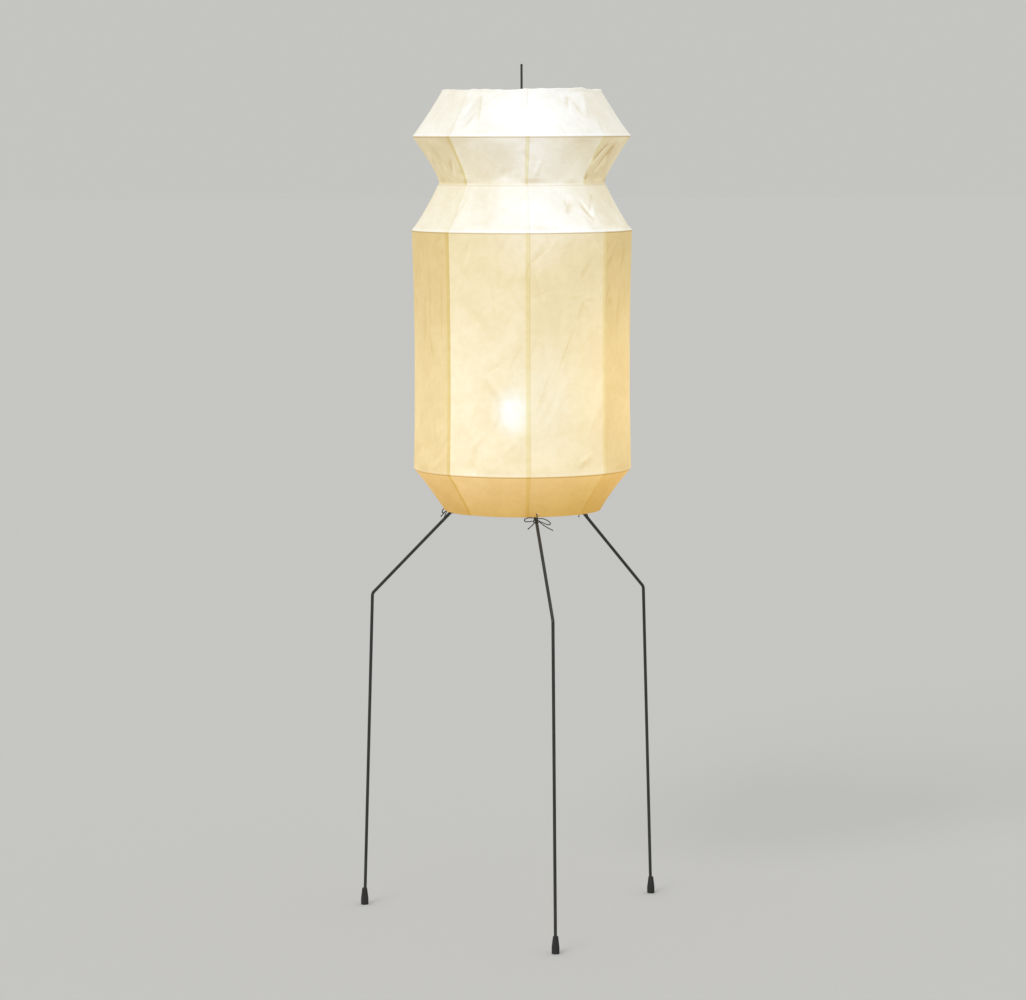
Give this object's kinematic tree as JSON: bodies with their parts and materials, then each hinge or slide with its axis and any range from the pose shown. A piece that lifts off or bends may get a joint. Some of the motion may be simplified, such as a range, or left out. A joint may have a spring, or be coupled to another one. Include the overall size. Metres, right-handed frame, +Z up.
{
  "type": "paper lantern floor lamp",
  "caption": "Tall waisted paper shade on wire hoops, hung on a thin rod over a wire tripod and lit from inside.",
  "frame": {"origin": "point on the floor under the middle of the rod", "axes": "+Z up along the rod, -Y towards the viewer of the picture, +X to their right"},
  "size_m": [0.6716, 0.6428, 1.895],
  "materials": {
    "black_paint": "satin black paint",
    "black_wire": "thin black paint",
    "screw_steel": "plain",
    "plated_steel": "zinc plated",
    "black_rubber": "matte",
    "paper": "fibrous, translucent",
    "cord": "twisted cord",
    "white_plastic": "moulded",
    "black_plastic": "moulded",
    "porcelain": "unglazed",
    "brass": "plain",
    "cap_metal": "pressed",
    "solder": "dull",
    "bulb_glass": "frosted",
    "stem_glass": "clear",
    "black_glass": "glossy",
    "tungsten": "hot"
  },
  "bodies": {
    "frame": {"leg_hub": "black_paint", "centre_rod": "black_paint", "shade_collar": "black_paint", "grub_screws": "screw_steel", "holder_nipples": "plated_steel", "nipple_nuts": "plated_steel", "lower_bracket": "black_paint", "lower_cord_grip": "black_plastic", "lower_holder_cap": "white_plastic", "lower_holder_shell": "white_plastic", "lower_holder_core": "porcelain", "lower_screw_shell": "brass", "lower_centre_contact": "brass", "upper_bracket": "black_paint", "upper_cord_grip": "black_plastic", "upper_holder_cap": "white_plastic", "upper_holder_shell": "white_plastic", "upper_holder_core": "porcelain", "upper_screw_shell": "brass", "upper_centre_contact": "brass"},
    "leg_front": {"leg_front": "black_paint", "foot_front": "black_rubber"},
    "leg_screw_front": {"leg_screw_front": "black_paint"},
    "leg_right": {"leg_right": "black_paint", "foot_right": "black_rubber"},
    "leg_screw_right": {"leg_screw_right": "black_paint"},
    "leg_left": {"leg_left": "black_paint", "foot_left": "black_rubber"},
    "leg_screw_left": {"leg_screw_left": "black_paint"},
    "lower_bulb_tip": {"lower_bulb_tip": "solder"},
    "lower_bulb": {"lower_bulb_glass": "bulb_glass", "lower_bulb_stem": "stem_glass", "lower_bulb_filament": "tungsten", "lower_bulb_insulator": "black_glass", "lower_bulb_cap": "cap_metal"},
    "upper_bulb_tip": {"upper_bulb_tip": "solder"},
    "upper_bulb": {"upper_bulb_glass": "bulb_glass", "upper_bulb_stem": "stem_glass", "upper_bulb_filament": "tungsten", "upper_bulb_insulator": "black_glass", "upper_bulb_cap": "cap_metal"},
    "shade": {"top_hoop": "black_wire", "upper_hoop": "black_wire", "waist_hoop": "black_wire", "shoulder_hoop": "black_wire", "lower_hoop": "black_wire", "bottom_hoop": "black_wire", "top_spider": "black_wire", "paper_gore_1": "paper", "paper_gore_2": "paper", "paper_gore_3": "paper", "paper_gore_4": "paper", "paper_gore_5": "paper", "paper_gore_6": "paper", "paper_gore_7": "paper", "paper_gore_8": "paper", "tie_front": "cord", "tie_right": "cord", "tie_left": "cord"}
  },
  "joints": [
    {"name": "leg_front_slide", "type": "slide", "parent": "frame", "child": "leg_front", "axis": [0.1252, -0.6959, -0.7071], "range_m": [0, 0.026]},
    {"name": "leg_screw_front_turn", "type": "hinge", "parent": "frame", "child": "leg_screw_front", "pos_m": [0.00885, -0.04921, 1.024], "axis": [0.1252, -0.6959, 0.7071], "range_deg": [0, 720]},
    {"name": "leg_right_slide", "type": "slide", "parent": "frame", "child": "leg_right", "axis": [0.5401, 0.4564, -0.7071], "range_m": [0, 0.026]},
    {"name": "leg_screw_right_turn", "type": "hinge", "parent": "frame", "child": "leg_screw_right", "pos_m": [0.03819, 0.03227, 1.024], "axis": [0.5401, 0.4564, 0.7071], "range_deg": [0, 720]},
    {"name": "leg_left_slide", "type": "slide", "parent": "frame", "child": "leg_left", "axis": [-0.6653, 0.2395, -0.7071], "range_m": [0, 0.026]},
    {"name": "leg_screw_left_turn", "type": "hinge", "parent": "frame", "child": "leg_screw_left", "pos_m": [-0.04704, 0.01694, 1.024], "axis": [-0.6653, 0.2395, 0.7071], "range_deg": [0, 720]},
    {"name": "lower_bulb_rise", "type": "slide", "parent": "frame", "child": "lower_bulb_tip", "axis": [0, 0, 1], "range_m": [0, 0.0253]},
    {"name": "lower_bulb_turn", "type": "hinge", "parent": "lower_bulb_tip", "child": "lower_bulb", "pos_m": [-0.02758, -0.02314, 1.087], "axis": [0, 0, 1], "range_deg": [0, 2520]},
    {"name": "upper_bulb_rise", "type": "slide", "parent": "frame", "child": "upper_bulb_tip", "axis": [0, 0, 1], "range_m": [0, 0.0253]},
    {"name": "upper_bulb_turn", "type": "hinge", "parent": "upper_bulb_tip", "child": "upper_bulb", "pos_m": [0.03383, -0.01231, 1.516], "axis": [0, 0, 1], "range_deg": [0, 2520]},
    {"name": "shade_lift", "type": "slide", "parent": "frame", "child": "shade", "axis": [0, 0, 1], "range_m": [0, 1.02], "deforming": ["tie_front", "tie_right", "tie_left"]}
  ],
  "couplings": [
    {"joint": "lower_bulb_rise", "follows": "lower_bulb_turn", "m_per_rad": 0.00057296},
    {"joint": "upper_bulb_rise", "follows": "upper_bulb_turn", "m_per_rad": 0.00057296}
  ]
}
